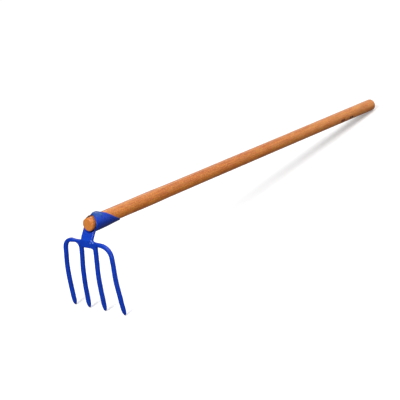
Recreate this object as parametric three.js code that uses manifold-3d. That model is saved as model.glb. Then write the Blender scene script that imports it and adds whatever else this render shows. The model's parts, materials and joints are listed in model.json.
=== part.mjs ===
// Four-tine hooked fork with a straight ash handle: a hand tool for breaking and drawing soil, manure or hay.
// The forging's tapered eye jams on the swelled head of the handle; a wooden wedge and a nail lock it.
//
// Every piece is drawn in the tool's own axes, in millimetres:
//   +Y runs along the handle towards the grip, +X is the working user's side, +Z points away from the tines,
//   and the origin is on the handle's axis in the mouth of the eye.
// At the end the whole tool is set down the way it lies on a floor, on its four tine tips and its grip end.
import * as THREE from 'three';
import { mergeVertices } from 'three/addons/utils/BufferGeometryUtils.js';
import Module from 'manifold-3d';

const wasm = await Module();
wasm.setup();

// ---------------------------------------------------------------- driving dimensions (mm)
const GAP = 0.3;                 // clearance left between pieces that touch

// handle
const HANDLE_FRONT = -14;        // head end, standing proud of the eye
const HANDLE_LENGTH = 1292;
const HEAD_RADIUS = 18.8;        // the part that sits in the eye
const SWELL_RADIUS = 19.2;       // fattest place, behind the collar
const SHAFT_RADIUS = 17.9;       // middle of the shaft
const GRIP_RADIUS = 17.5;
const HEAD_CHAMFER = 3;
const GRIP_ROUNDING = 8;
const HANDLE_SIDES = 32;

// eye and collar of the forging
const EYE_FACE = -3.1;           // where the eye's front face crosses the handle's axis
const EYE_TILT = 0.69;           // that face leans back by this much per mm of height
const EYE_TOP_UPRIGHT = 0.2;     // and by this much less above the axis
const EYE_TWIST = 0.0114;        // it is forged with a slight twist, which grows above TWIST_FROM
const TWIST_FROM = -16;
const EYE_LIFT = 1.5;            // the eye's outside is this much higher than the handle's axis at its mouth
const EYE_DEPTH = 50;            // depth over which the bore narrows from its mouth to its seat
const EYE_OUTER = 25.7;          // outer radius just behind the mouth
const LIP = [[21.6, 0], [24, 1.2], [25.2, 3.2], [EYE_OUTER, 6.4]];  // rolled lip: radius, depth behind the face
const COLLAR_TAPER = 0.048;      // how fast the collar narrows behind TAPER_FROM, per mm
const TAPER_FROM = 12;
const BORE_MOUTH = 21.4;
const BORE_SIDE = 1.9;           // at its mouth the bore is this far off the handle's axis, towards +X
const BORE_DROP = 1.3;           // and this far down
const BORE_SEAT = HEAD_RADIUS + GAP;
const COLLAR_SLOPE = 1.5;        // the collar's back edge runs this far back per mm of drop
const COLLAR_EDGE = 71.3;        // where that edge passes the handle's axis
const COLLAR_TOP_SLOPE = 2.55;   // its slope above COLLAR_BREAK, near the top of the collar
const COLLAR_BREAK = 19.3;

// neck, shoulder and arms
const NECK_WIDTH = 40.5;
const NECK_PLATE = 9;            // thickness of the neck
const PLATE = 10;                // thickness of the shoulder
const SHOULDER_Y = -22;          // middle of the shoulder's thickness
const NECK_BEND_Z = -40;         // below this the forging is square to the handle
const ARM_TOP = -43;
const ARM_Z = -48.3;             // middle of the arms
const WEB_BOTTOM = -61;          // lower edge between the inner tines

// tines: A and B on the -X side, C and D on the +X side
const TINE = 10.4;               // width and thickness of the rounded square bar
const TINE_CORNER = 3.2;
const TINE_ROOT_Z = -107;
const TINE_TIP_Z = -240.5;
const POINT_LENGTH = 24;
const POINT_SCALE = 0.32;        // size of the blunt tip, as a share of the bar
const POINT_SETBACK = 1.3;       // the front of the point is ground back by this much
const INNER_X = 26.2;             // half the inner pair's spacing at the tine's root
const INNER_TOP_LEFT = 23.3;      // and where each of the two leaves the shoulder
const INNER_TOP_RIGHT = 27.4;
const OUTER_X = 85.2;
const INNER_SPLAY = 2.6;
const OUTER_SPLAY = 5.3;
const SET = 4.4;                 // sideways set of each hand-drawn tine at its tip

// wedge and nail
const WEDGE_ANGLE = -36;         // degrees from the top, towards +X
const WEDGE_WIDTH = 18;
const WEDGE_FRONT = -3;
const WEDGE_LENGTH = 36;
const WEDGE_HIGH = 23;           // its back, before the eye trims it, above the handle's axis
const WEDGE_SEAT_FRONT = 16.3;   // height of its sloping underside at the front and at the thin end
const WEDGE_SEAT_BACK = 18.2;
const WEDGE_BEVEL = 12;          // length of the bevel on its proud front end
const NAIL_ANGLE = 40;           // degrees from the top, towards +X
const NAIL_Y = 21;
const NAIL_RADIUS = 1.9;
const NAIL_HEAD_RADIUS = 4;
const NAIL_HEAD_HEIGHT = 1.6;
const NAIL_LENGTH = 26;

// ---------------------------------------------------------------- helpers
const V = (x, y, z) => new THREE.Vector3(x, y, z);
const P = (x, y) => new THREE.Vector2(x, y);
const lerp = THREE.MathUtils.lerp;
const smooth = THREE.MathUtils.smoothstep;

/** A copy of a geometry with nothing but its shape. */
function stripped(geometry) {
  const bare = geometry.clone();
  bare.deleteAttribute('normal');
  bare.deleteAttribute('uv');
  return bare;
}

/** A closed geometry as a solid that can be cut and joined. */
function toSolid(geometry) {
  const merged = mergeVertices(stripped(geometry), 1e-4);
  return new wasm.Manifold(new wasm.Mesh({
    numProp: 3,
    vertProperties: new Float32Array(merged.attributes.position.array),
    triVerts: new Uint32Array(merged.index.array),
  }));
}

/** A solid back as a geometry. */
function toGeometry(solid) {
  const mesh = solid.getMesh();
  const geometry = new THREE.BufferGeometry();
  geometry.setAttribute('position', new THREE.BufferAttribute(new Float32Array(mesh.vertProperties), 3));
  geometry.setIndex(new THREE.BufferAttribute(new Uint32Array(mesh.triVerts), 1));
  geometry.computeVertexNormals();
  return geometry;
}

/** A surface of revolution about the handle's axis; outline points are (radius, y). */
function turned(outline, sides) {
  return new THREE.LatheGeometry(outline, sides);
}

/** A rounded rectangle's outline, width by height, counter-clockwise, with arcs of the given radius. */
function roundedSection(width, height, radius, arcSteps) {
  const points = [];
  const corners = [[1, 1], [-1, 1], [-1, -1], [1, -1]];
  corners.forEach(([sx, sy], quarter) => {
    for (let i = 0; i <= arcSteps; i += 1) {
      const a = (quarter + i / arcSteps) * Math.PI / 2;
      points.push(P(
        sx * (width / 2 - radius) + radius * Math.cos(a),
        sy * (height / 2 - radius) + radius * Math.sin(a),
      ));
    }
  });
  return points;
}

/**
 * A bar along a curve. The section's width lies sideways to the curve and its height lies along Y,
 * scaled by shape(v).scale and moved along Y by shape(v).shift, with v from 0 to 1 along the curve.
 */
function bar(curve, section, steps, shape = () => ({ scale: 1, shift: 0 })) {
  const count = section.length;
  const geometry = new THREE.CylinderGeometry(1, 1, 1, count, steps);
  const merged = mergeVertices(stripped(geometry), 1e-5);
  const place = merged.attributes.position;
  for (let i = 0; i < place.count; i += 1) {
    const v = 0.5 - place.getY(i);
    const radius = Math.hypot(place.getX(i), place.getZ(i));
    const turn = Math.atan2(place.getX(i), place.getZ(i)) / (2 * Math.PI);
    const corner = section[(Math.round(turn * count) + count) % count];
    const { scale, shift } = shape(v);
    const along = curve.getTangentAt(v);
    const deep = V(0, 1, 0).addScaledVector(along, -along.y).normalize();
    const side = new THREE.Vector3().crossVectors(along, deep);
    const point = curve.getPointAt(v);
    if (radius > 0.5) {
      point.addScaledVector(side, corner.x * scale).addScaledVector(deep, corner.y * scale);
    }
    point.y += shift;
    place.setXYZ(i, point.x, point.y, point.z);
  }
  return merged;
}

/** A flat-sided slab: an outline in the Y-Z plane, extruded across X by the given width. */
function slab(outline, width) {
  const geometry = new THREE.ExtrudeGeometry(new THREE.Shape(outline), { depth: width, bevelEnabled: false });
  // drawn (y, z) in the shape's plane; the basis turns that plane upright
  const basis = new THREE.Matrix4().makeBasis(V(0, 1, 0), V(0, 0, 1), V(1, 0, 0));
  return geometry.applyMatrix4(basis).translate(-width / 2, 0, 0);
}

// ---------------------------------------------------------------- handle
/** Radius of the turned handle, at a distance y along its axis. */
function handleRadius(y) {
  const swell = (SWELL_RADIUS - HEAD_RADIUS) * smooth(y, 110, 215);
  const waist = (SWELL_RADIUS - SHAFT_RADIUS) * (0.7 * smooth(y, 235, 315) + 0.3 * smooth(y, 315, 460));
  const taper = (SHAFT_RADIUS - GRIP_RADIUS) * smooth(y, 560, 860);
  return HEAD_RADIUS + swell - waist - taper;
}

function handleOutline() {
  const back = HANDLE_FRONT + HANDLE_LENGTH;
  const stations = [30, 110, 160, 215, 245, 275, 315, 380, 460, 560, 660, 760, 860, 980, 1100, 1200];
  const outline = [
    P(0, HANDLE_FRONT),
    P(HEAD_RADIUS - HEAD_CHAMFER, HANDLE_FRONT),
    P(HEAD_RADIUS, HANDLE_FRONT + HEAD_CHAMFER),
  ];
  stations.forEach((y) => outline.push(P(handleRadius(y), y)));
  const arcSteps = 6;
  for (let i = 0; i <= arcSteps; i += 1) {
    const a = i / arcSteps * Math.PI / 2;
    outline.push(P(
      GRIP_RADIUS - GRIP_ROUNDING + GRIP_ROUNDING * Math.cos(a),
      back - GRIP_ROUNDING + GRIP_ROUNDING * Math.sin(a),
    ));
  }
  outline.push(P(0, back));
  return outline;
}

// ---------------------------------------------------------------- wedge
/** Height of the wedge's sloping underside above the handle's axis. */
const wedgeSeat = (y) => lerp(WEDGE_SEAT_FRONT, WEDGE_SEAT_BACK, (y - WEDGE_FRONT) / WEDGE_LENGTH);

/** A wedge-shaped slab at the wedge's place from front to back, grown by extra on its underside and sides. */
function wedgeSlab(front, back, extra = 0) {
  return slab([
    P(front, wedgeSeat(front) - extra),
    P(back, wedgeSeat(back) - extra),
    P(back, WEDGE_HIGH),
    P(front + WEDGE_BEVEL, WEDGE_HIGH),
    P(front, wedgeSeat(front) + 2),
  ], WEDGE_WIDTH + 2 * extra).rotateY(THREE.MathUtils.degToRad(WEDGE_ANGLE));
}

// ---------------------------------------------------------------- nail
/** Stands a body turned about Y up along the collar's radius at the nail's place. */
function atNail(outline) {
  return turned(outline, 16)
    .rotateX(Math.PI / 2)
    .rotateY(THREE.MathUtils.degToRad(NAIL_ANGLE))
    .translate(0, NAIL_Y, 0);
}

/** The nail: a domed head on the collar, its shank through the collar's wall into the handle. */
function nail() {
  const seat = collarRadius(NAIL_Y) + GAP;
  return atNail([
    P(0, seat - NAIL_LENGTH),
    P(NAIL_RADIUS, seat - NAIL_LENGTH + 5),
    P(NAIL_RADIUS, seat),
    P(NAIL_HEAD_RADIUS, seat),
    P(NAIL_HEAD_RADIUS * 0.8, seat + NAIL_HEAD_HEIGHT * 0.7),
    P(NAIL_HEAD_RADIUS * 0.4, seat + NAIL_HEAD_HEIGHT),
    P(0, seat + NAIL_HEAD_HEIGHT),
  ]);
}

/** The hole for the nail, with a shallow spot face under its head. */
function nailHole() {
  const seat = collarRadius(NAIL_Y);
  const outside = seat + 10;
  return toSolid(atNail([
    P(0, seat - NAIL_LENGTH),
    P(NAIL_RADIUS + GAP, seat - NAIL_LENGTH),
    P(NAIL_RADIUS + GAP, seat),
    P(NAIL_HEAD_RADIUS + GAP, seat),
    P(NAIL_HEAD_RADIUS + GAP, outside),
    P(0, outside),
  ]));
}

// ---------------------------------------------------------------- fork head
/** Outer radius of the collar: full at the mouth, slim at the tongue. */
const collarRadius = (y) => EYE_OUTER - COLLAR_TAPER * Math.max(y - TAPER_FROM, 0);

/** How far along the eye's taper a place is: 0 at the mouth, 1 where the straight seat starts. */
const eyeDepth = (y) => THREE.MathUtils.clamp((y - EYE_FACE) / EYE_DEPTH, 0, 1);

const boreRadius = (y) => lerp(BORE_MOUTH, BORE_SEAT, eyeDepth(y));

/** Depth of the eye's front face at a place on it. */
function eyeFace(x, z) {
  return EYE_FACE + EYE_TILT * z - EYE_TOP_UPRIGHT * Math.max(z, 0) - EYE_TWIST * x * (z - TWIST_FROM);
}

/** Moves every vertex of a geometry by a function that changes it in place. */
function reshape(geometry, move) {
  const place = geometry.attributes.position;
  const point = new THREE.Vector3();
  for (let i = 0; i < place.count; i += 1) {
    point.fromBufferAttribute(place, i);
    move(point);
    place.setXYZ(i, point.x, point.y, point.z);
  }
  return geometry;
}

/** The eye's outside sits a little high at its mouth, and comes down on the handle's axis behind it. */
const liftMouth = (point) => {
  point.z += EYE_LIFT * (1 - eyeDepth(point.y));
};

/** The bore's mouth is worn to one side and down. */
const shiftBore = (point) => {
  point.x += BORE_SIDE * (1 - eyeDepth(point.y));
  point.z -= BORE_DROP * (1 - eyeDepth(point.y));
};

function collar() {
  const far = 200;
  const stations = [TAPER_FROM + 4, 30, 46, 64, 112];
  const inside = BORE_SEAT - 3;
  // behind the lip the wall is turned at true depth; the lip's depths lean with the eye's face
  const outline = [
    ...LIP.map(([radius]) => P(radius, -far)),
    ...stations.map((y) => P(collarRadius(y), y)),
    P(inside, 112),
    P(inside, -far),
    P(LIP[0][0], -far),
  ];
  const lipDepth = (radius) => LIP.reduce((depth, [r, d]) => (Math.abs(r - radius) < 0.01 ? d : depth), 0);
  const body = reshape(turned(outline, 40), (point) => {
    if (point.y === -far) {
      point.y = eyeFace(point.x, point.z) + lipDepth(Math.hypot(point.x, point.z));
    }
    liftMouth(point);
  });
  // everything behind the collar's slanted edge
  const breakY = COLLAR_EDGE - COLLAR_SLOPE * COLLAR_BREAK;
  const back = slab([
    P(COLLAR_EDGE + COLLAR_SLOPE * far, -far),
    P(3 * far, far),
    P(breakY - COLLAR_TOP_SLOPE * (far - COLLAR_BREAK), far),
    P(breakY, COLLAR_BREAK),
  ], far);
  return toSolid(body).subtract(toSolid(back));
}

/** The inside of the eye, narrowed by inset: a taper that narrows towards the grip, then a straight seat. */
function bore(inset = 0) {
  const ends = [-60, EYE_FACE, EYE_FACE + EYE_DEPTH / 2, EYE_FACE + EYE_DEPTH, 130];
  const outline = [P(0, ends[0]), ...ends.map((y) => P(boreRadius(y) - inset, y)), P(0, ends.at(-1))];
  return toSolid(reshape(turned(outline, 40), shiftBore));
}

/** The neck comes down in the plane of the eye's face and bends square to the handle. */
function neck() {
  const middle = (z) => eyeFace(0, z) + NECK_PLATE / 2 * Math.hypot(1, EYE_TILT);
  const path = new THREE.CatmullRomCurve3([
    V(0, middle(-6), -6),
    V(0, middle(-20), -20),
    V(0, middle(-29) + 0.4, -29),
    V(0, SHOULDER_Y - 0.2, NECK_BEND_Z),
    V(0, SHOULDER_Y, NECK_BEND_Z - 6),
    V(0, SHOULDER_Y, WEB_BOTTOM + 6),
  ]);
  return toSolid(bar(path, roundedSection(NECK_WIDTH, NECK_PLATE, 2.5, 2), 10));
}

/** The flat shoulder between neck, arms and inner tines, with its forged fillets. */
function shoulder() {
  const half = NECK_WIDTH / 2;
  const barHalf = TINE / 2 - 0.3;
  const left = [-INNER_TOP_LEFT - barHalf, -INNER_TOP_LEFT + barHalf];
  const right = [INNER_TOP_RIGHT - barHalf, INNER_TOP_RIGHT + barHalf];
  const bottom = WEB_BOTTOM - 9;
  const armBottom = 2 * ARM_Z - ARM_TOP + 1;
  const edge = new THREE.Shape();
  edge.moveTo(half - 1, NECK_BEND_Z + 1);
  edge.quadraticCurveTo(half, ARM_TOP, half + 7, ARM_TOP);
  edge.lineTo(half + 22, ARM_TOP - 1);
  edge.lineTo(half + 22, armBottom);
  edge.lineTo(right[1] + 6, armBottom);
  edge.quadraticCurveTo(right[1], armBottom, right[1], armBottom - 7);
  edge.lineTo(right[1], bottom);
  edge.lineTo(right[0], bottom);
  edge.quadraticCurveTo(right[0], WEB_BOTTOM, right[0] - 7, WEB_BOTTOM);
  edge.lineTo(left[1] + 5, WEB_BOTTOM);
  edge.quadraticCurveTo(left[1], WEB_BOTTOM, left[1], WEB_BOTTOM - 5);
  edge.lineTo(left[1], bottom);
  edge.lineTo(left[0], bottom);
  edge.quadraticCurveTo(left[0] - 1, armBottom + 1, left[0] - 15, armBottom + 1);
  edge.lineTo(-half - 26, armBottom + 1);
  edge.lineTo(-half - 26, ARM_TOP - 1);
  edge.lineTo(-half - 7, ARM_TOP);
  edge.quadraticCurveTo(-half, ARM_TOP, -half + 1, NECK_BEND_Z + 1);
  const bevel = 1.2;
  const geometry = new THREE.ExtrudeGeometry(edge, {
    depth: PLATE - 2 * bevel,
    curveSegments: 6,
    bevelEnabled: true,
    bevelThickness: bevel,
    bevelSize: bevel,
    bevelOffset: -bevel,
    bevelSegments: 1,
  });
  // the outline is drawn in X-Z; its thickness runs along Y
  geometry.rotateX(Math.PI / 2).translate(0, SHOULDER_Y + PLATE / 2 - bevel, 0);
  return toSolid(geometry);
}

/** Depth of a tine's middle line at a share s of the way from its root to its tip: hooked back to the grip. */
const hook = (s) => SHOULDER_Y + 0.4 - 3.6 * s + 31.4 * s * s - 13.9 * s ** 3;

/** The straight-drawn lower stretch of a tine, as points from root to tip. */
function drawnTine(rootX, splay, set) {
  const points = [];
  const steps = 6;
  for (let i = 0; i <= steps; i += 1) {
    const s = i / steps;
    points.push(V(rootX + (splay + set) * s, hook(s), lerp(TINE_ROOT_Z, TINE_TIP_Z, s)));
  }
  return points;
}

/** An arm that leaves the shoulder sideways and turns down through an arc of the given half-axes. */
function armPoints(side, arcX, arcZ, tineX) {
  const points = [V(side * (INNER_X - 2), SHOULDER_Y, ARM_Z)];
  const centreX = tineX - arcX;
  const steps = 6;
  for (let i = 0; i <= steps; i += 1) {
    const a = i / steps * Math.PI / 2;
    points.push(V(
      side * (centreX + arcX * Math.sin(a)),
      SHOULDER_Y,
      ARM_Z - arcZ * (1 - Math.cos(a)),
    ));
  }
  return points;
}

function tine(points, steps) {
  const path = new THREE.CatmullRomCurve3(points, false, 'centripetal');
  const length = path.getLength();
  const point = (v) => Math.max(0, (v - 1) * length / POINT_LENGTH + 1) ** 2;
  return toSolid(bar(path, roundedSection(TINE, TINE, TINE_CORNER, 2), steps, (v) => ({
    scale: 1 - (1 - POINT_SCALE) * point(v),
    shift: POINT_SETBACK * point(v),
  })));
}

function tines() {
  const innerTop = (x) => [V(x, SHOULDER_Y, ARM_Z), V(x, SHOULDER_Y, WEB_BOTTOM - 7)];
  return [
    tine([...armPoints(-1, 24, 24.5, 82.2), ...drawnTine(-OUTER_X, -OUTER_SPLAY, SET)], 26),
    tine([...innerTop(-INNER_TOP_LEFT), ...drawnTine(-INNER_X, -INNER_SPLAY, -SET)], 18),
    tine([...innerTop(INNER_TOP_RIGHT), ...drawnTine(INNER_X, INNER_SPLAY, -SET)], 18),
    tine([...armPoints(1, 36, 29.5, 83), ...drawnTine(OUTER_X, OUTER_SPLAY, SET)], 26),
  ];
}

function forkHead() {
  const forging = [collar(), neck(), shoulder(), ...tines()].reduce((whole, piece) => whole.add(piece));
  return forging.subtract(bore()).subtract(nailHole());
}

// ---------------------------------------------------------------- the pieces
const COLOURS = {
  paint: new THREE.MeshStandardMaterial({ color: 0x1a40b4, roughness: 0.35, metalness: 0.1 }),
  wood: new THREE.MeshStandardMaterial({ color: 0xd08a4c, roughness: 0.45, metalness: 0 }),
  darkWood: new THREE.MeshStandardMaterial({ color: 0x4a2a18, roughness: 0.7, metalness: 0 }),
  steel: new THREE.MeshStandardMaterial({ color: 0x3f66b8, roughness: 0.4, metalness: 0.4 }),
};

const wedgeBack = WEDGE_FRONT + WEDGE_LENGTH;
const handle = toSolid(turned(handleOutline(), HANDLE_SIDES))
  .subtract(toSolid(wedgeSlab(HANDLE_FRONT - 1, wedgeBack + GAP, GAP)))
  .subtract(nailHole());
const wedge = toSolid(wedgeSlab(WEDGE_FRONT, wedgeBack)).intersect(bore(GAP));
const shapes = {
  fork_head: [toGeometry(forkHead()), COLOURS.paint],
  handle: [toGeometry(handle), COLOURS.wood],
  wedge: [toGeometry(wedge), COLOURS.darkWood],
  lock_nail: [nail(), COLOURS.steel],
};

const tool = new THREE.Group();
Object.entries(shapes).forEach(([name, [geometry, material]]) => {
  const mesh = new THREE.Mesh(geometry, material);
  mesh.name = name;
  tool.add(mesh);
});

// ---------------------------------------------------------------- set down on the floor
/** The piece's lowest vertex once the tool is turned by tilt about X, as (y, z) in the turned axes. */
function lowest(geometry, tilt) {
  const place = geometry.attributes.position;
  let best = P(0, Infinity);
  for (let i = 0; i < place.count; i += 1) {
    const y = place.getY(i);
    const z = place.getZ(i);
    const turnedPoint = P(y * Math.cos(tilt) - z * Math.sin(tilt), y * Math.sin(tilt) + z * Math.cos(tilt));
    if (turnedPoint.y < best.y) {
      best = turnedPoint;
    }
  }
  return best;
}

let tilt = -0.1;
for (let pass = 0; pass < 8; pass += 1) {
  const tip = lowest(shapes.fork_head[0], tilt);
  const grip = lowest(shapes.handle[0], tilt);
  tilt -= Math.atan2(grip.y - tip.y, grip.x - tip.x);
}
tool.rotation.x = tilt;
tool.updateMatrixWorld(true);
const box = new THREE.Box3().setFromObject(tool, true);
tool.position.set(-(box.min.x + box.max.x) / 2, -(box.min.y + box.max.y) / 2, -box.min.z);

const group = new THREE.Group();
group.add(tool);
export default group;
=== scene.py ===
"""Hooked four-tine fork: glossy blue forging on a turned, lacquered wooden handle.

It rests on its four tine tips and its grip end on a pale floor. Shapes are drawn in the tool's own axes
in millimetres (+Y along the handle to the grip, +Z away from the tines, origin on the handle's axis in the
mouth of the eye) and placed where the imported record's mounts say the tool lies.
"""
import json
import math

import bpy
import numpy as np
from mathutils import Matrix, Vector, noise


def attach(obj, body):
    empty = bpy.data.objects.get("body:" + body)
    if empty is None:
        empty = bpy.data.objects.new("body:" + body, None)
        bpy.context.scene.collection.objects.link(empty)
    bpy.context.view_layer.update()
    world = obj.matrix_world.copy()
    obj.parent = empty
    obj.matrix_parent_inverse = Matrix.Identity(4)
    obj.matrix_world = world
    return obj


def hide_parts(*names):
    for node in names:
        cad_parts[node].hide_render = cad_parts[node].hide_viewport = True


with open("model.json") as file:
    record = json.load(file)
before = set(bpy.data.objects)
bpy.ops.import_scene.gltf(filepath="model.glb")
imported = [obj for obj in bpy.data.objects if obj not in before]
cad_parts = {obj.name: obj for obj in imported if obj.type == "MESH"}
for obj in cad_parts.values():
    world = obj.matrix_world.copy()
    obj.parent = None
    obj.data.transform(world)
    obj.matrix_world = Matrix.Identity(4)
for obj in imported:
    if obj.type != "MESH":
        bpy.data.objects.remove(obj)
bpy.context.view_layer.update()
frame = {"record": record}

# ------------------------------------------------------------------ where the tool lies
HANDLE_FRONT = -14      # the handle's sawn head end
HANDLE_BACK = 1277.9    # its grip end
mounts = {mount["name"]: mount for mount in frame["record"]["mounts"]}
head_end = mounts["head_end_face"]
TILT = math.atan2(-head_end["axis"][2], -head_end["axis"][1])
TURN = Matrix.Rotation(TILT, 4, "X")
ORIGIN = Vector(head_end["pos_m"]) - TURN @ Vector((0, HANDLE_FRONT / 1000, 0))
TOOL = Matrix.Translation(ORIGIN) @ TURN @ Matrix.Scale(0.001, 4)


# ------------------------------------------------------------------ mesh helpers
def smoothstep(value, low, high):
    t = np.clip((value - low) / (high - low), 0, 1)
    return t * t * (3 - 2 * t)


def new_object(name, mesh):
    piece = bpy.data.objects.new(name, mesh)
    bpy.context.scene.collection.objects.link(piece)
    return piece


def ring_solid(name, rings):
    """A skin over rings of points, capped at both ends."""
    rings = [np.asarray(ring, float) for ring in rings]
    count = len(rings[0])
    faces = []
    for i in range(len(rings) - 1):
        here, there = i * count, (i + 1) * count
        for j in range(count):
            k = (j + 1) % count
            faces.append((here + j, here + k, there + k, there + j))
    faces.append(tuple(reversed(range(count))))
    faces.append(tuple((len(rings) - 1) * count + j for j in range(count)))
    mesh = bpy.data.meshes.new(name)
    mesh.from_pydata(np.concatenate(rings).tolist(), [], faces)
    mesh.validate()
    return new_object(name, mesh)


def lathe_rings(outline, sides):
    """Rings round the handle's axis for an outline of (radius, y)."""
    angles = np.arange(sides) / sides * 2 * math.pi
    return [np.stack([r * np.sin(angles), np.full(sides, float(y)), r * np.cos(angles)], axis=1)
            for r, y in outline]


def resampled(points, spacing):
    """The polyline's points at an even spacing, near enough, along it."""
    points = np.asarray(points, float)
    steps = np.linalg.norm(np.diff(points, axis=0), axis=1)
    along = np.concatenate([[0], np.cumsum(steps)])
    stations = np.linspace(0, along[-1], max(2, round(along[-1] / spacing)))
    return np.stack([np.interp(stations, along, points[:, k]) for k in range(3)], axis=1)


def relaxed(points, passes):
    """The polyline with its corners eased; both ends stay."""
    points = points.copy()
    for _ in range(passes):
        points[1:-1] = (points[:-2] + 2 * points[1:-1] + points[2:]) / 4
    return points


CORNER_STEPS = 5


def rounded_section(width, height, radius):
    points = []
    for quarter, (sx, sy) in enumerate(((1, 1), (-1, 1), (-1, -1), (1, -1))):
        for i in range(CORNER_STEPS + 1):
            a = (quarter + i / CORNER_STEPS) * math.pi / 2
            points.append((sx * (width / 2 - radius) + radius * math.cos(a),
                           sy * (height / 2 - radius) + radius * math.sin(a)))
    return np.array(points)


def bar(name, path, section, scale=None, shift=None):
    """A bar along a path; the section's width lies sideways and its height square to that, nearest Y."""
    tangents = np.gradient(path, axis=0)
    tangents /= np.linalg.norm(tangents, axis=1)[:, None]
    rings = []
    for i, (point, along) in enumerate(zip(path, tangents)):
        deep = np.array([0.0, 1.0, 0.0]) - along[1] * along
        deep /= np.linalg.norm(deep)
        side = np.cross(along, deep)
        size = np.ones(2) if scale is None else scale[i]
        ring = point + np.outer(section[:, 0] * size[0], side) + np.outer(section[:, 1] * size[1], deep)
        if shift is not None:
            ring[:, 1] += shift[i]
        rings.append(ring)
    return ring_solid(name, rings)


def applied(piece):
    """The object's mesh with its modifiers baked in."""
    graph = bpy.context.evaluated_depsgraph_get()
    mesh = bpy.data.meshes.new_from_object(piece.evaluated_get(graph))
    old = piece.data
    piece.modifiers.clear()
    piece.data = mesh
    bpy.data.meshes.remove(old)


def joined(pieces, name):
    vertices, faces = [], []
    for piece in pieces:
        start = len(vertices)
        vertices.extend(tuple(v.co) for v in piece.data.vertices)
        faces.extend(tuple(start + i for i in f.vertices) for f in piece.data.polygons)
        bpy.data.objects.remove(piece)
    mesh = bpy.data.meshes.new(name)
    mesh.from_pydata(vertices, [], faces)
    return new_object(name, mesh)


def coordinates(mesh):
    flat = np.empty(len(mesh.vertices) * 3)
    mesh.vertices.foreach_get("co", flat)
    return flat.reshape(-1, 3)


def set_coordinates(mesh, points):
    mesh.vertices.foreach_set("co", np.ascontiguousarray(points, float).ravel())
    mesh.update()


def placed(piece, smooth=True):
    """Moves a piece drawn in the tool's axes, in millimetres, to where the tool lies."""
    piece.data.transform(TOOL)
    if smooth:
        piece.data.shade_smooth()
    piece.data.update()
    return piece


# ------------------------------------------------------------------ the forging
# the eye's front face
FACE_Y = -3.1             # where it crosses the handle's axis
FACE_LEAN = 0.69          # how far it leans back per millimetre of height
FACE_TOP_UPRIGHT = 0.2    # how much less it leans above the axis
FACE_TWIST = 0.0114       # its twist, which grows above and below TWIST_AT
TWIST_AT = -16

# the lip round the mouth (radius, and depth behind the face) and the collar behind it
LIP = ((16, 0.6), (19.6, 0.2), (21.6, 0.3), (23, 0.8), (24.2, 1.8), (25.2, 3.6), (25.6, 5.4))
LIP_OUTER = 25.7
LIP_DEPTH = 7             # depth behind the face where the collar starts
EYE_LIFT = 1.5            # how much higher than the handle's axis the eye's outside is at its mouth
COLLAR_TAPER = 0.048      # how much slimmer the collar gets per millimetre behind TAPER_FROM
TAPER_FROM = 12
COLLAR_RIM = 4            # how far in its back face is drawn, which is past the bore's wall

# the collar's back edge
EDGE_Y = 71.5             # where it would pass the handle's axis
EDGE_SLOPE = 1.5          # how far back it runs per millimetre of drop
EDGE_DIP = 1.5            # how far forward it is drawn near the axis
EDGE_DIP_REACH = 6        # height over which that fades away
EDGE_TOP = 19.3           # the height above which it runs forward by EDGE_TOP_SLOPE more
EDGE_TOP_SLOPE = 1.05
TONGUE_END = 103          # the tongue under the handle is rounded off here
TONGUE_ROUNDING = 2.5

# the far side of the mouth is drawn thin, at angles in degrees from the top towards -X
THIN_FROM = (10, 38)
THIN_TO = (112, 140)
THIN_FADE = (-8, 22)      # depths behind the lip over which it gets its full wall again
THIN_RADIUS = 20.5        # what lies outside this radius ...
THIN_SHARE = 0.9          # ... is drawn in by this share of it

# the bore
BORE_MOUTH = 21.4
BORE_SEAT = 19.1
BORE_SIDE = 1.9           # how far towards +X it is off the handle's axis at its mouth
BORE_DROP = 1.3           # how far down it is off that axis there
EYE_DEPTH = 50            # depth over which it narrows from its mouth to its seat

# neck, shoulder and tines
NECK_FACE = -4.4          # where the neck's front face, carried up, crosses the handle's axis
NECK_LEAN = 0.6           # how far it leans back per millimetre of height
NECK_MIDDLE = 5.3         # from that face to the middle of the plate
NECK_WIDTH = 40.5
NECK_PLATE = 9.2
NECK_ROUNDING = 2.6
SHOULDER_Y = -22
SHOULDER_HALF = 5         # half its thickness
SHOULDER_BEVEL = 1.3
TINE = 10.8               # width and thickness of the bar
TINE_ROUNDING = 2.1
ROOT_Z = -107
TIP_Z = -240.2
POINT = 24                # length of a tine's point
BLUNT = 0.02              # what is left of a tine's width at its very tip
BAR_SPACING = 1.2         # distance between the rings of a bar

# hammering along a tine
LONG_WAVE = (0.02, 17)      # share of its width, and millimetres per radian
SHORT_WAVE = (0.016, 7.3)
BULGE = (0.055, 8)          # share of its width, and reach in millimetres
WANDER = (0.6, 38)          # millimetres sideways, and over how many

# how far a tine's middle moves along Y from its root to its tip: it bows out, then hooks towards the grip
ROOT_SET = 0.7
BOW_OUT = 3.6
HOOK_BACK = 31.4
HOOK_EASE = 13.9


def eye_face(x, z):
    """Depth of the eye's front face."""
    lean = FACE_Y + FACE_LEAN * z - FACE_TOP_UPRIGHT * np.maximum(z, 0)
    return lean - FACE_TWIST * x * (z - TWIST_AT)


def collar_radius(y):
    return LIP_OUTER - COLLAR_TAPER * np.maximum(y - TAPER_FROM, 0)


def eye_depth(y):
    """0 at the mouth of the eye and 1 from the bore's seat on."""
    return np.clip((y - FACE_Y) / EYE_DEPTH, 0, 1)


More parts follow.
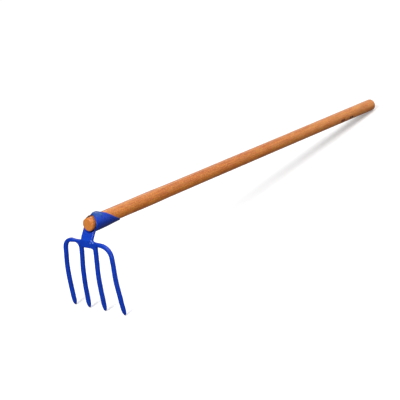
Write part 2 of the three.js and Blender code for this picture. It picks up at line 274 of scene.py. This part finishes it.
def back_edge(cosine):
    """Depth of the collar's back edge at each angle round the handle."""
    # a first guess, which the loop refines because the collar's radius depends on the depth
    edge = np.full(len(cosine), 60.0)
    for _ in range(8):
        height = collar_radius(edge) * cosine
        dip = EDGE_DIP * np.exp(-(height / EDGE_DIP_REACH) ** 2)
        edge = EDGE_Y - EDGE_SLOPE * height - dip - EDGE_TOP_SLOPE * np.maximum(height - EDGE_TOP, 0)
    return TONGUE_END - np.log1p(np.exp((TONGUE_END - edge) / TONGUE_ROUNDING)) * TONGUE_ROUNDING


def collar():
    """The eye's outside: a rolled lip, the slimming collar, and a long tongue under the handle."""
    sides = 120
    angles = np.arange(sides) / sides * 2 * math.pi
    sine, cosine = np.sin(angles), np.cos(angles)
    rings = []
    for radius, depth in LIP:
        x, z = radius * sine, radius * cosine
        rings.append(np.stack([x, eye_face(x, z) + depth, z], axis=1))
    start = eye_face(LIP_OUTER * sine, LIP_OUTER * cosine) + LIP_DEPTH
    stop = back_edge(cosine)
    for share in np.linspace(0, 1, 60):
        y = start + (stop - start) * share
        radius = collar_radius(y)
        rings.append(np.stack([radius * sine, y, radius * cosine], axis=1))
    radius = collar_radius(stop) - COLLAR_RIM
    rings.append(np.stack([radius * sine, stop, radius * cosine], axis=1))
    turn = np.degrees(np.arctan2(-sine, cosine))
    thin = smoothstep(turn, *THIN_FROM) * (1 - smoothstep(turn, *THIN_TO))
    for ring in rings:
        behind = smoothstep(ring[:, 1] - start, *THIN_FADE)
        radius = np.hypot(ring[:, 0], ring[:, 2])
        outer = np.clip((radius - THIN_RADIUS) / radius, 0, 1)
        kept = 1 - thin * (1 - behind) * outer * THIN_SHARE
        ring[:, 0] *= kept
        ring[:, 2] *= kept
        ring[:, 2] += EYE_LIFT * (1 - eye_depth(ring[:, 1]))
    return ring_solid("collar", rings)


def bore():
    """The tapered hole for the handle, long enough to cut through at both ends."""
    depths = np.array([-60.0, FACE_Y, 20, FACE_Y + EYE_DEPTH, 130])
    radii = BORE_MOUTH + (BORE_SEAT - BORE_MOUTH) * eye_depth(depths)
    rings = lathe_rings(list(zip(radii, depths)), 96)
    for ring in rings:
        ring[:, 0] += BORE_SIDE * (1 - eye_depth(ring[:, 1]))
        ring[:, 2] -= BORE_DROP * (1 - eye_depth(ring[:, 1]))
    return ring_solid("bore", rings)


def neck():
    """The neck comes down nearly in the plane of the eye's face and bends square to the handle."""
    path = [(0, NECK_FACE + NECK_LEAN * z + NECK_MIDDLE, z) for z in (-8, -14, -20, -26, -32, -35)]
    path += [(0, SHOULDER_Y + 0.1, -41.5), (0, SHOULDER_Y, -48), (0, SHOULDER_Y, -57)]
    path = relaxed(resampled(path, BAR_SPACING), 12)
    return bar("neck", path, rounded_section(NECK_WIDTH, NECK_PLATE, NECK_ROUNDING))


def shoulder():
    """The flat shoulder, its outline drawn in X-Z with forged fillets."""
    def curve(a, b, c):
        t = np.linspace(0, 1, 10)[1:, None]
        return ((1 - t) ** 2 * np.array(a) + 2 * t * (1 - t) * np.array(b) + t * t * np.array(c)).tolist()

    outline = [[19.2, -37.5]]
    outline += curve([19.2, -37.5], [20.6, -43], [28, -43.2])
    outline += [[42, -43.8], [42, -53], [38.4, -53]]
    outline += curve([38.4, -53], [32.4, -53], [32.4, -59])
    outline += [[32.4, -70], [22.5, -70]]
    outline += curve([22.5, -70], [22.4, -61], [15.5, -61])
    outline += [[-13.4, -61]]
    outline += curve([-13.4, -61], [-18.4, -61], [-18.4, -66])
    outline += [[-18.4, -70], [-28.2, -70]]
    outline += curve([-28.2, -70], [-28.8, -52], [-43, -50.6])
    outline += [[-46, -50.4], [-46, -43], [-28, -42.8]]
    outline += curve([-28, -42.8], [-20.6, -42.6], [-19.2, -37.5])
    outline = np.array(outline[:-1])
    front, back = SHOULDER_Y - SHOULDER_HALF, SHOULDER_Y + SHOULDER_HALF
    bevel = SHOULDER_BEVEL
    rings = []
    for y, inset in ((front, bevel), (front + bevel, 0), (back - bevel, 0), (back, bevel)):
        shrink = inset_outline(outline, inset)
        rings.append(np.stack([shrink[:, 0], np.full(len(outline), float(y)), shrink[:, 1]], axis=1))
    return ring_solid("shoulder", rings)


def inset_outline(outline, inset):
    """The outline moved inwards by inset, along the mean of the normals at each corner."""
    if not inset:
        return outline
    ahead = np.roll(outline, -1, axis=0) - outline
    normals = np.stack([ahead[:, 1], -ahead[:, 0]], axis=1)
    normals /= np.maximum(np.linalg.norm(normals, axis=1), 1e-6)[:, None]
    area = np.sum(outline[:, 0] * np.roll(outline[:, 1], -1) - np.roll(outline[:, 0], -1) * outline[:, 1])
    if area < 0:
        normals = -normals
    mean = normals + np.roll(normals, 1, axis=0)
    mean /= np.maximum(np.linalg.norm(mean, axis=1), 1e-6)[:, None]
    return outline - inset * mean


def hook(s):
    """Depth of a tine's middle at a share s of the way from root to tip."""
    return SHOULDER_Y + ROOT_SET - BOW_OUT * s + HOOK_BACK * s ** 2 - HOOK_EASE * s ** 3


def drawn_tine(root_x, splay, set_x):
    """A tine's middle below its root, spread by splay and bent sideways by set_x at its tip."""
    s = np.linspace(0, 1, 60)
    return np.stack([root_x + (splay + set_x) * s, hook(s), ROOT_Z + (TIP_Z - ROOT_Z) * s], axis=1)


def arm(side, start_x, arc_x, arc_z, tine_x, top):
    """An outer tine's middle from the shoulder out and round a bend that is arc_x wide and arc_z high."""
    a = np.linspace(0, math.pi / 2, 30)
    x = side * (tine_x - arc_x + arc_x * np.sin(a))
    z = top - arc_z * (1 - np.cos(a))
    turn = np.stack([x, np.full(len(a), float(SHOULDER_Y)), z], axis=1)
    return np.concatenate([[[side * start_x, SHOULDER_Y, top]], turn])


def tine(name, path, bulge_at, slim_to=0):
    """A tine hammered to a point and swollen bulge_at before its tip, which also shifts its waves.

    Its arm is slimmer up to slim_to along the path.
    """
    path = relaxed(resampled(path, BAR_SPACING), 30)
    steps = np.linalg.norm(np.diff(path, axis=0), axis=1)
    along = np.concatenate([[0], np.cumsum(steps)])
    left = along[-1] - along
    nose = np.clip(1 - left / POINT, 0, 1)
    taper = np.sqrt(np.clip(1 - nose ** 2.2, 0, 1)) * (1 - BLUNT) + BLUNT
    wave = 1 + LONG_WAVE[0] * np.sin(along / LONG_WAVE[1] + bulge_at)
    wave = wave + SHORT_WAVE[0] * np.sin(along / SHORT_WAVE[1] + 2 * bulge_at)
    wave += BULGE[0] * np.exp(-((left - bulge_at) / BULGE[1]) ** 2)
    slim = 1 - 0.28 * (1 - smoothstep(along, slim_to - 14, slim_to)) if slim_to else 1
    scale = np.stack([taper * wave * slim, taper * (2 - wave) ** 0.5], axis=1)
    drift = np.array([noise.noise(Vector((a / WANDER[1], bulge_at, 0))) for a in along])
    drift = drift * smoothstep(along, 20, 60) * smoothstep(left, 0, 40) * WANDER[0]
    path = path + np.outer(drift, [1, 0, 0])
    return bar(name, path, rounded_section(TINE, TINE, TINE_ROUNDING), scale, 1.3 * nose ** 2)


def tines():
    middle = SHOULDER_Y
    left_top = [[-23.3, middle, -48], [-23.4, middle, -72]]
    right_top = [[27.4, middle, -48], [27.3, middle, -72]]
    left_arm = arm(-1, 46, 24.4, 25.6, 82.2, -47.0)
    left_arm = np.concatenate([[[-24, middle, -46.2]], left_arm])
    return [
        tine("tine_a", np.concatenate([left_arm, drawn_tine(-85, -4.9, 4.4)]), 62, 34),
        tine("tine_b", np.concatenate([left_top, drawn_tine(-26.2, -2.6, -4.4)]), 84),
        tine("tine_c", np.concatenate([right_top, drawn_tine(26.2, 2.6, -4.4)]), 88),
        tine("tine_d", np.concatenate([arm(1, 26, 36.3, 29.9, 83.2, -48.4), drawn_tine(85.2, 4.9, 4.4)]), 92),
    ]


VOXEL = 1.0    # grid of the forging's skin, in millimetres


def fuse(piece):
    """Adds a modifier that turns the piece's parts into one skin."""
    remesh = piece.modifiers.new("skin", "REMESH")
    remesh.mode = "VOXEL"
    remesh.voxel_size = VOXEL


body = joined([collar(), neck(), shoulder(), *tines()], "forging")
fuse(body)
applied(body)
hole = bore()
cut = body.modifiers.new("bore", "BOOLEAN")
cut.operation = "DIFFERENCE"
cut.solver = "EXACT"
cut.object = hole
applied(body)
bpy.data.objects.remove(hole)
fuse(body)
ease = body.modifiers.new("ease", "SMOOTH")
ease.factor = 0.5
ease.iterations = 7
applied(body)

# hammer marks: height and size in millimetres
BROAD_MARKS = (0.16, 11)
FINE_MARKS = (0.05, 4.5)
# dents on the neck and the shoulder: x, y, z, reach and depth
DENTS = ((19.5, -26.5, -38.5, 2.6, 0.7), (21.5, -27, -42, 2.2, 0.5), (27.5, -25.5, -44.5, 2.6, 0.6),
         (33, -24.5, -44.5, 2.2, 0.4), (-12, -26.8, -52, 3.4, 0.25), (9, -17, -21.5, 3.2, 0.3))


def marks(place, height, size):
    return noise.noise(Vector(place) / size) * height


points = coordinates(body.data)
flat_normals = np.empty(len(points) * 3)
body.data.vertices.foreach_get("normal", flat_normals)
normals = flat_normals.reshape(-1, 3)
forge = np.array([marks(point, *BROAD_MARKS) + marks(point, *FINE_MARKS) for point in points])
points = points + normals * forge[:, None]
for x, y, z, reach, depth in DENTS:
    away = np.linalg.norm(points - np.array([x, y, z]), axis=1) / reach
    points = points - normals * (depth * np.exp(-away ** 2))[:, None]
set_coordinates(body.data, points)
fork_head = placed(body)
fork_head.name = "forged_fork_head"


# ------------------------------------------------------------------ the handle
HEAD_RADIUS = 18.8
SWELL = 0.4             # how much thicker the handle is behind the collar
WAIST = 1.3             # how much slimmer again further back
TAPER = 0.4             # how much slimmer again towards the grip
SEATED = 0.5            # how much slimmer it is at its head, inside the eye
AXIS_RADIUS = 0.02      # radius of the smallest ring, in the middle of a turned end
HEAD_FLAT = 14.6        # radius of the sawn end's flat middle
CHAMFER_INSET = 14.8    # the chamfer's arc starts at this radius
CHAMFER_WIDTH = 3.5
CHAMFER_DEPTH = 3.4
GRIP_FLAT = 9.4         # radius of the grip end's flat middle
GRIP_ROUNDING = 8
OFF_CENTRE = (-0.6, 0, -0.8)    # the head is whittled this much off centre

# the wedge and its seat
WEDGE_TURN = math.radians(-36)
WEDGE_UP = np.array([math.sin(WEDGE_TURN), 0, math.cos(WEDGE_TURN)])
WEDGE_ACROSS = np.array([math.cos(WEDGE_TURN), 0, -math.sin(WEDGE_TURN)])
WEDGE_FRONT = -3
WEDGE_BACK = 33
WEDGE_OUT = 2           # how far it starts in front of WEDGE_FRONT
WEDGE_HALF_WIDTH = 7.5
WEDGE_PROUD = 2.2       # how far its split front end stands out of the eye's bore
WEDGE_FIT = 0.3         # room between it and the bore
WEDGE_SUNK = 0.6        # how far its underside lies under the seat's height
WEDGE_EDGE = 0.25       # least thickness
SPLIT_HEIGHT = 2.4      # height of the split at its front end
SPLIT_SLOPE = 0.4
SEAT_HEIGHT = 16.3      # of the seat above the handle's axis, at the wedge's front
SEAT_RISE = 1.9         # from there to its back
SEAT_RUN_OUT = 1.7      # and towards the handle's head end
SEAT_GAP = 0.3          # how far the handle is cut under the seat's height
SEAT_SOFTNESS = 0.4     # rounding of the cut's edge


def handle_radius(y):
    swell = SWELL * smoothstep(y, 110, 215)
    waist = WAIST * (0.7 * smoothstep(y, 235, 315) + 0.3 * smoothstep(y, 315, 460))
    taper = TAPER * smoothstep(y, 560, 860)
    return HEAD_RADIUS + swell - waist - taper


def wedge_seat(y):
    """Height of the wedge's seat on the handle; it runs out towards the handle's end."""
    height = SEAT_HEIGHT + SEAT_RISE * (y - WEDGE_FRONT) / (WEDGE_BACK - WEDGE_FRONT)
    return height + SEAT_RUN_OUT * (1 - smoothstep(y, HANDLE_FRONT, 0))


def handle():
    """The turned handle; its flat faces at both ends get the second material, end grain."""
    outline = [(radius, HANDLE_FRONT) for radius in (AXIS_RADIUS, 6, 12, HEAD_FLAT)]
    for a in np.linspace(0.15, 1, 6) * math.pi / 2:
        depth = CHAMFER_DEPTH * (1 - math.cos(a))
        outline.append((CHAMFER_INSET + CHAMFER_WIDTH * math.sin(a), HANDLE_FRONT + depth + 0.1))
    for y in np.concatenate([np.arange(-8, 60, 4), np.arange(60, 1268, 9.4)]):
        outline.append((float(handle_radius(y)) - SEATED * (1 - smoothstep(y, -8, 30)), float(y)))
    for a in np.linspace(0, 1, 9) * math.pi / 2:
        outline.append((GRIP_FLAT + GRIP_ROUNDING * math.cos(a),
                        HANDLE_BACK - GRIP_ROUNDING + GRIP_ROUNDING * math.sin(a)))
    outline += [(6, HANDLE_BACK), (AXIS_RADIUS, HANDLE_BACK)]
    rings = lathe_rings(outline, 96)
    for ring in rings:
        y = ring[0][1]
        if y < WEDGE_BACK:
            height, across = ring @ WEDGE_UP, ring @ WEDGE_ACROSS
            # what stands over the seat is cut away, with a softened edge
            excess = height - wedge_seat(y) + SEAT_GAP
            over = np.logaddexp(0, excess / SEAT_SOFTNESS) * SEAT_SOFTNESS
            ring -= np.outer(over * smoothstep(across, -10, -6.5), WEDGE_UP)
        ring += np.outer(np.full(len(ring), 1 - smoothstep(y, HANDLE_FRONT, 45)), OFF_CENTRE)
    piece = ring_solid("turned_handle", rings)
    mesh = piece.data
    for face in mesh.polygons:
        face.material_index = 1 if abs(face.normal.y) > 0.9 else 0
    return placed(piece)


def wedge():
    """A driven wedge: flat below, rounded above to fill the eye, its proud front end split off slanting."""
    rings = []
    across = np.linspace(-WEDGE_HALF_WIDTH, WEDGE_HALF_WIDTH, 13)
    for y in np.linspace(WEDGE_FRONT - WEDGE_OUT, WEDGE_BACK, 32):
        low = wedge_seat(y) - WEDGE_SUNK
        inside = 1 - float(eye_depth(y))
        radius = BORE_MOUTH + (BORE_SEAT - BORE_MOUTH) * (1 - inside) - WEDGE_FIT
        centre = np.array([BORE_SIDE, 0, -BORE_DROP]) * inside
        shift_up, shift_across = centre @ WEDGE_UP, centre @ WEDGE_ACROSS
        proud = WEDGE_PROUD * (1 - smoothstep(y, 2, 9))
        ring = []
        for t in across:
            high = shift_up + math.sqrt(radius ** 2 - (t - shift_across) ** 2) + proud
            high = min(high, low + SPLIT_HEIGHT + SPLIT_SLOPE * (y - WEDGE_FRONT + WEDGE_OUT))
            ring.append(WEDGE_ACROSS * t + WEDGE_UP * max(high, low + WEDGE_EDGE))
        ring += [WEDGE_ACROSS * t + WEDGE_UP * low for t in across[::-1]]
        ring = np.array(ring)
        ring[:, 1] = y
        rings.append(ring)
    return placed(ring_solid("driven_wedge", rings), smooth=False)


NAIL_Y = 21
NAIL_TURN = math.radians(40)    # from the top of the collar towards +X
NAIL_LIFT = 0.8
NAIL_SHANK = 1.9
NAIL_LENGTH = 24
NAIL_TIP = 4                    # length of its point
NAIL_HEAD = 3.9
NAIL_DOME = 1.7                 # height of the head's dome


def nail():
    """A domed nail through the collar into the handle."""
    seat = float(collar_radius(NAIL_Y)) + 0.1
    outline = [(AXIS_RADIUS, seat - NAIL_LENGTH), (NAIL_SHANK - 0.1, seat - NAIL_LENGTH + NAIL_TIP)]
    outline += [(NAIL_SHANK, seat), (NAIL_HEAD - 0.2, seat)]
    for a in np.linspace(0.1, 1, 7) * math.pi / 2:
        outline.append((NAIL_HEAD * math.cos(a) + AXIS_RADIUS, seat + 0.35 + NAIL_DOME * math.sin(a)))
    piece = ring_solid("domed_nail", lathe_rings(outline, 28))
    upright = Matrix.Rotation(math.radians(90), 4, "X")
    turned = Matrix.Rotation(NAIL_TURN, 4, "Y")
    piece.data.transform(Matrix.Translation((0, NAIL_Y, NAIL_LIFT)) @ turned @ upright)
    return placed(piece)


turned_handle = handle()
driven_wedge = wedge()
domed_nail = nail()


# ------------------------------------------------------------------ materials
def linear(red, green, blue):
    def channel(value):
        value /= 255
        return value / 12.92 if value <= 0.04045 else ((value + 0.055) / 1.055) ** 2.4
    return (channel(red), channel(green), channel(blue), 1)


class Look:
    """A material's nodes; inputs are named, and a node's output given as an input is linked."""

    def __init__(self, name):
        self.material = bpy.data.materials.new(name)
        self.material.use_nodes = True
        self.tree = self.material.node_tree
        self.shader = self.tree.nodes["Principled BSDF"]
        self.place = self.add("ShaderNodeTexCoord").outputs["Object"]
        # the same in the tool's own axes, in metres
        self.tool = self.add("ShaderNodeMapping", {"Vector": self.place, "Rotation": (-TILT, 0, 0),
                                                   "Location": -(TURN.inverted() @ ORIGIN)}).outputs[0]

    def add(self, kind, inputs=None, **settings):
        item = self.tree.nodes.new(kind)
        for key, value in settings.items():
            setattr(item, key, value)
        self.feed(item, inputs or {})
        return item

    def feed(self, item, inputs):
        for key, value in inputs.items():
            if isinstance(value, bpy.types.NodeSocket):
                self.tree.links.new(value, item.inputs[key])
            else:
                item.inputs[key].default_value = value

    def noise(self, vector, scale, detail, rough):
        return self.add("ShaderNodeTexNoise", {"Vector": vector, "Scale": scale, "Detail": detail,
                                               "Roughness": rough}).outputs["Fac"]

    def rings(self, vector, scale, distortion, detail_scale):
        """Growth rings round the Y axis."""
        return self.add("ShaderNodeTexWave", {"Vector": vector, "Scale": scale, "Distortion": distortion,
                                              "Detail": 2, "Detail Scale": detail_scale},
                        wave_type="RINGS", rings_direction="Y", wave_profile="SAW").outputs["Fac"]

    def ramp(self, factor, stops):
        item = self.add("ShaderNodeValToRGB", {"Fac": factor})
        ramp = item.color_ramp
        while len(ramp.elements) < len(stops):
            ramp.elements.new(0.5)
        for element, (position, colour) in zip(ramp.elements, stops):
            element.position = position
            element.color = colour if isinstance(colour, tuple) else (colour, colour, colour, 1)
        return item.outputs["Color"]

    def mix(self, factor, first, second):
        item = self.add("ShaderNodeMix", data_type="RGBA")
        self.feed(item, {0: factor, 6: first, 7: second})
        return item.outputs[2]

    def math(self, operation, *values):
        item = self.add("ShaderNodeMath", operation=operation)
        self.feed(item, dict(enumerate(values)))
        return item.outputs[0]

    def bump(self, height, strength, distance, normal=None):
        inputs = {"Height": height, "Strength": strength, "Distance": distance}
        if normal is not None:
            inputs["Normal"] = normal
        return self.add("ShaderNodeBump", inputs).outputs["Normal"]

    def stretched(self, scale, offset=(0, 0, 0)):
        """Coordinates in the tool's own axes, stretched."""
        return self.add("ShaderNodeMapping", {"Vector": self.tool, "Location": offset,
                                              "Scale": scale}).outputs[0]

    def near(self, centre, full, none):
        """1 within full metres of a point in the tool's own axes (millimetres), 0 beyond none metres."""
        away = self.add("ShaderNodeVectorMath", {0: self.tool, 1: Vector(centre) / 1000},
                        operation="DISTANCE")
        return self.between(away.outputs["Value"], none, full)

    def between(self, value, low, high):
        """Rises smoothly from 0 where value is low to 1 where it is high."""
        return self.add("ShaderNodeMapRange", {"Value": value, "From Min": low, "From Max": high},
                        interpolation_type="SMOOTHSTEP").outputs["Result"]


# small knocks in the paint at the foot of the neck, in a pale blue that also paints in glints there
CHIPS_AND_GLINTS = ((19.5, -26.5, -38.5), (24, -26, -43.5), (15, -27, -45))


def paint(name, wear_and_painted_highlight):
    """Glossy blue paint over forged steel, with a painted reflection on top of the eye, painted shade under
    the collar and in creases, and pale knocks that also paint in glints.
    """
    look = Look(name)
    broad = look.noise(look.place, 26, 3, 0.55)
    fine = look.noise(look.place, 210, 3, 0.6)
    grit = look.noise(look.place, 900, 2, 0.5)
    blue = look.ramp(broad, [(0.3, linear(4, 42, 158)), (0.55, linear(6, 51, 177)),
                             (0.75, linear(11, 63, 188))])
    # the second argument lightens the blotches and rubbed patches; on the nail this is partly rubbed paint
    # and partly a painted highlight on its head
    blotch = look.ramp(fine, [(0.35, 0.05 + wear_and_painted_highlight), (0.72, 0.35 + wear_and_painted_highlight)])
    blue = look.mix(blotch, blue, linear(32 + 60 * wear_and_painted_highlight, 88 + 70 * wear_and_painted_highlight, 200))
    edge = look.add("ShaderNodeNewGeometry").outputs["Pointiness"]
    rubbed = look.ramp(edge, [(0.53, 0.0), (0.6, 1.0)])
    patchy = look.ramp(fine, [(0.48, 0.0), (0.62, 0.5 + wear_and_painted_highlight)])
    rubbed = look.math("MULTIPLY", rubbed, patchy)
    blue = look.mix(rubbed, blue, linear(62, 118, 200))
    # painted reflection: a greyer, paler patch on top of the eye stands in for the reflection of the light
    # above
    painted_reflection = look.near((3, 16, 23), 0.009, 0.026)
    painted_reflection = look.math("MULTIPLY", painted_reflection, look.ramp(fine, [(0.3, 0.4), (0.6, 0.85)]))
    blue = look.mix(painted_reflection, blue, linear(36, 80, 136))
    axes = look.add("ShaderNodeSeparateXYZ", {"Vector": look.tool})
    # painted shade: the paint turns dark grey-blue low on the eye and its tongue, behind the mouth, for the
    # shade under the collar
    painted_underside_shade = look.math("MULTIPLY", look.between(axes.outputs["Z"], 0.012, -0.022),
                      look.between(axes.outputs["Y"], -0.006, 0.012))
    painted_underside_shade = look.math("MULTIPLY", painted_underside_shade, look.ramp(broad, [(0.3, 0.6), (0.6, 0.85)]))
    blue = look.mix(painted_underside_shade, blue, linear(46, 48, 70))
    # painted shade: concave places, where the pointiness is low, are darkened for the shade in creases and
    # hollows
    painted_crease_shade = look.ramp(edge, [(0.4, 0.55), (0.485, 0.0)])
    blue = look.mix(painted_crease_shade, blue, linear(6, 26, 92))
    # pale blue spots: partly chipped paint, partly painted glints on the bumpy foot of the neck
    for spot in CHIPS_AND_GLINTS:
        ragged = look.ramp(grit, [(0.4, 0.4), (0.6, 1.0)])
        chip_and_glint = look.math("MULTIPLY", look.near(spot, 0.0008, 0.003), ragged)
        blue = look.mix(chip_and_glint, blue, linear(126, 158, 206))
    shine = look.ramp(fine, [(0.3, 0.24), (0.75, 0.38)])
    relief = look.bump(look.noise(look.place, 120, 2, 0.5), 0.35, 0.0006)
    relief = look.bump(grit, 0.25, 0.00012, relief)
    look.feed(look.shader, {"Base Color": blue, "Roughness": shine, "Normal": relief,
                            "Coat Weight": 0.12, "Coat Roughness": 0.1, "Specular IOR Level": 0.2})
    return look.material


# dark scuffs low on the side near the grip's end
SCUFFS = ((16.6, 1098, -6), (16.6, 1108, -6), (16.6, 1142, -6.5), (16.6, 1152, -6.5))


def wood(name):
    """Stained wood under clear lacquer, paler and scuffed towards the grip."""
    look = Look(name)
    rings = look.rings(look.stretched((1, 0.02, 1), (0.051, 0, 0.158)), 75, 2.2, 2.2)
    streaks = look.noise(look.stretched((260, 14, 260)), 1, 4, 0.6)
    flecks = look.noise(look.stretched((460, 190, 460)), 1, 3, 0.7)
    pores = look.noise(look.stretched((1500, 34, 1500)), 1, 2, 0.6)
    clouds = look.noise(look.stretched((60, 24, 60)), 1, 3, 0.6)
    tone = look.ramp(rings, [(0.0, linear(220, 140, 50)), (0.6, linear(212, 124, 38)),
                             (1.0, linear(188, 96, 26))])
    tone = look.mix(look.ramp(streaks, [(0.38, 0.0), (0.68, 0.6)]), tone, linear(174, 86, 26))
    tone = look.mix(look.ramp(clouds, [(0.38, 0.0), (0.66, 0.6)]), tone, linear(222, 146, 60))
    tone = look.mix(look.ramp(flecks, [(0.42, 0.0), (0.62, 0.55)]), tone, linear(160, 82, 28))
    tone = look.mix(look.ramp(flecks, [(0.28, 0.6), (0.46, 0.0)]), tone, linear(236, 158, 62))
    tone = look.mix(look.ramp(pores, [(0.6, 0.0), (0.72, 0.5)]), tone, linear(112, 54, 20))
    along = look.add("ShaderNodeSeparateXYZ", {"Vector": look.tool}).outputs["Y"]
    uneven = look.ramp(clouds, [(0.3, 0.1), (0.6, 0.4)])
    paler = look.math("MULTIPLY", look.between(along, 0.5, 1.28), uneven)
    tone = look.mix(paler, tone, linear(232, 160, 88))
    for spot in SCUFFS:
        rubbed = look.ramp(streaks, [(0.4, 0.5), (0.55, 1.0)])
        scuffed = look.math("MULTIPLY", look.near(spot, 0.002, 0.007), rubbed)
        tone = look.mix(scuffed, tone, linear(58, 44, 34))
    shine = look.ramp(streaks, [(0.3, 0.34), (0.7, 0.5)])
    relief = look.bump(pores, 0.3, 0.0002)
    relief = look.bump(streaks, 0.25, 0.0003, relief)
    look.feed(look.shader, {"Base Color": tone, "Roughness": shine, "Normal": relief,
                            "Specular IOR Level": 0.3, "Coat Weight": 0.5, "Coat Roughness": 0.2,
                            "Subsurface Weight": 0.6, "Subsurface Radius": (1.0, 0.5, 0.2),
                            "Subsurface Scale": 0.02})
    return look.material


def end_grain(name):
    """Growth rings and pores on the handle's sawn ends."""
    look = Look(name)
    rings = look.rings(look.stretched((1, 1, 1), (-0.02, 0, 0.035)), 95, 1.2, 3)
    dots = look.noise(look.stretched((900, 900, 900)), 1, 2, 0.6)
    stain = look.noise(look.stretched((70, 70, 70)), 1, 3, 0.6)
    tone = look.ramp(rings, [(0.0, linear(232, 150, 66)), (1.0, linear(200, 112, 42))])
    tone = look.mix(look.ramp(stain, [(0.4, 0.0), (0.7, 0.6)]), tone, linear(206, 116, 46))
    tone = look.mix(look.ramp(dots, [(0.55, 0.0), (0.7, 0.5)]), tone, linear(128, 68, 30))
    relief = look.bump(dots, 0.4, 0.0003)
    look.feed(look.shader, {"Base Color": tone, "Roughness": look.ramp(dots, [(0.3, 0.42), (0.7, 0.6)]),
                            "Normal": relief, "Coat Weight": 0.15, "Coat Roughness": 0.3})
    return look.material


def dark_wood(name):
    look = Look(name)
    fibres = look.noise(look.stretched((900, 30, 900)), 1, 3, 0.6)
    tone = look.ramp(fibres, [(0.3, linear(58, 32, 20)), (0.7, linear(112, 68, 42))])
    look.feed(look.shader, {"Base Color": tone, "Roughness": look.ramp(fibres, [(0.3, 0.6), (0.7, 0.8)]),
                            "Normal": look.bump(fibres, 0.5, 0.0004)})
    return look.material


def floor_finish(name):
    """Matt near-white with a weak glow, which keeps its far part from greying."""
    look = Look(name)
    speckle = look.noise(look.place, 14, 3, 0.5)
    tone = look.ramp(speckle, [(0.3, linear(246, 246, 246)), (0.7, linear(250, 250, 250))])
    look.feed(look.shader, {"Base Color": tone, "Roughness": 0.9, "Specular IOR Level": 0.1,
                            "Emission Color": (1, 1, 1, 1), "Emission Strength": 0.15})
    return look.material


def finish(piece, *materials):
    for material in materials:
        piece.data.materials.append(material)


finish(fork_head, paint("blue_paint", 0))
# the nail's paint is lighter, partly rubbed paint and partly a painted highlight on its head
finish(domed_nail, paint("nail_paint", 0.5))
finish(turned_handle, wood("lacquered_wood"), end_grain("end_grain"))
finish(driven_wedge, dark_wood("dark_wood"))

for piece, node, slot in ((fork_head, "fork_head", "blue_paint"), (turned_handle, "handle", "lacquered_wood"),
                          (driven_wedge, "wedge", "dark_wood"), (domed_nail, "lock_nail", "painted_nail")):
    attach(piece, "root")
    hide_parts(node)

# ------------------------------------------------------------------ floor, light, camera
floor_mesh = bpy.data.meshes.new("floor")
floor_mesh.from_pydata([(-30, -30, 0), (30, -30, 0), (30, 30, 0), (-30, 30, 0)], [], [(0, 1, 2, 3)])
floor = new_object("floor", floor_mesh)
finish(floor, floor_finish("pale_floor"))

# the floor neither mirrors in the tool nor lights it
floor.visible_glossy = False
floor.visible_diffuse = False

world = bpy.data.worlds.new("studio")
bpy.context.scene.world = world
world.use_nodes = True
sky = world.node_tree
# the dome is dark low down and past the fork, bright above and past the grip
direction = sky.nodes.new("ShaderNodeTexCoord")
upness = sky.nodes.new("ShaderNodeSeparateXYZ")
dome = sky.nodes.new("ShaderNodeValToRGB")
dome.color_ramp.elements[0].position = 0.54
dome.color_ramp.elements[0].color = (0.14, 0.14, 0.15, 1)
dome.color_ramp.elements[1].position = 0.76
dome.color_ramp.elements[1].color = (1, 1, 1, 1)
raised = sky.nodes.new("ShaderNodeMath")
raised.operation = "MULTIPLY_ADD"
raised.inputs[1].default_value = 0.35
raised.inputs[2].default_value = 0.5
behind = sky.nodes.new("ShaderNodeMath")
behind.operation = "MULTIPLY_ADD"
behind.inputs[1].default_value = 0.3
sky.links.new(direction.outputs["Generated"], upness.inputs[0])
sky.links.new(upness.outputs["Z"], raised.inputs[0])
sky.links.new(upness.outputs["Y"], behind.inputs[0])
sky.links.new(raised.outputs[0], behind.inputs[2])
sky.links.new(behind.outputs[0], dome.inputs["Fac"])
sky.links.new(dome.outputs["Color"], sky.nodes["Background"].inputs["Color"])
sky.nodes["Background"].inputs["Strength"].default_value = 0.75


def soft_light(name, place, aim, size, power):
    data = bpy.data.lights.new(name, "AREA")
    data.shape = "DISK"
    data.size = size
    data.energy = power
    lamp = bpy.data.objects.new(name, data)
    bpy.context.scene.collection.objects.link(lamp)
    lamp.location = place
    lamp.rotation_euler = (Vector(aim) - Vector(place)).to_track_quat("-Z", "Y").to_euler()


soft_light("key", (0.2, -5, 5.2), (0, 0, 0.1), 2.8, 350)
soft_light("top", (1.1, 1.7, 2.6), (0, -0.3, 0.1), 1.2, 12)
soft_light("side", (3.6, -2.2, 1.1), (0, 0, 0.1), 2, 72)
soft_light("back", (-1.9, 2.6, 2.1), (0, -0.1, 0.1), 1.2, 5)
bpy.context.scene.view_settings.view_transform = "Standard"

# the camera's direction, distance and offset are given in the tool's own axes, in metres
AZIMUTH = math.radians(41.58)
ELEVATION = math.radians(17.16)
ROLL = math.radians(-5.28)
DISTANCE = 4.795
ACROSS = 0.271
UP = 0.0546
AIM_Y = 0.021
away = Vector((math.sin(AZIMUTH) * math.cos(ELEVATION), -math.cos(AZIMUTH) * math.cos(ELEVATION),
               math.sin(ELEVATION)))
level = Vector((math.cos(AZIMUTH), math.sin(AZIMUTH), 0))
upward = away.cross(level)
right = level * math.cos(ROLL) + upward * math.sin(ROLL)
above = upward * math.cos(ROLL) - level * math.sin(ROLL)
eye = away * DISTANCE + right * ACROSS + above * UP + Vector((0, AIM_Y, 0))
camera_data = bpy.data.cameras.new("camera")
camera_data.lens = 164.51
camera_data.sensor_width = 36
camera_data.clip_end = 50
camera = bpy.data.objects.new("camera", camera_data)
bpy.context.scene.collection.objects.link(camera)
axes = Matrix((right, above, away)).transposed().to_4x4()
camera.matrix_world = Matrix.Translation(ORIGIN) @ TURN @ Matrix.Translation(eye) @ axes
bpy.context.scene.camera = camera
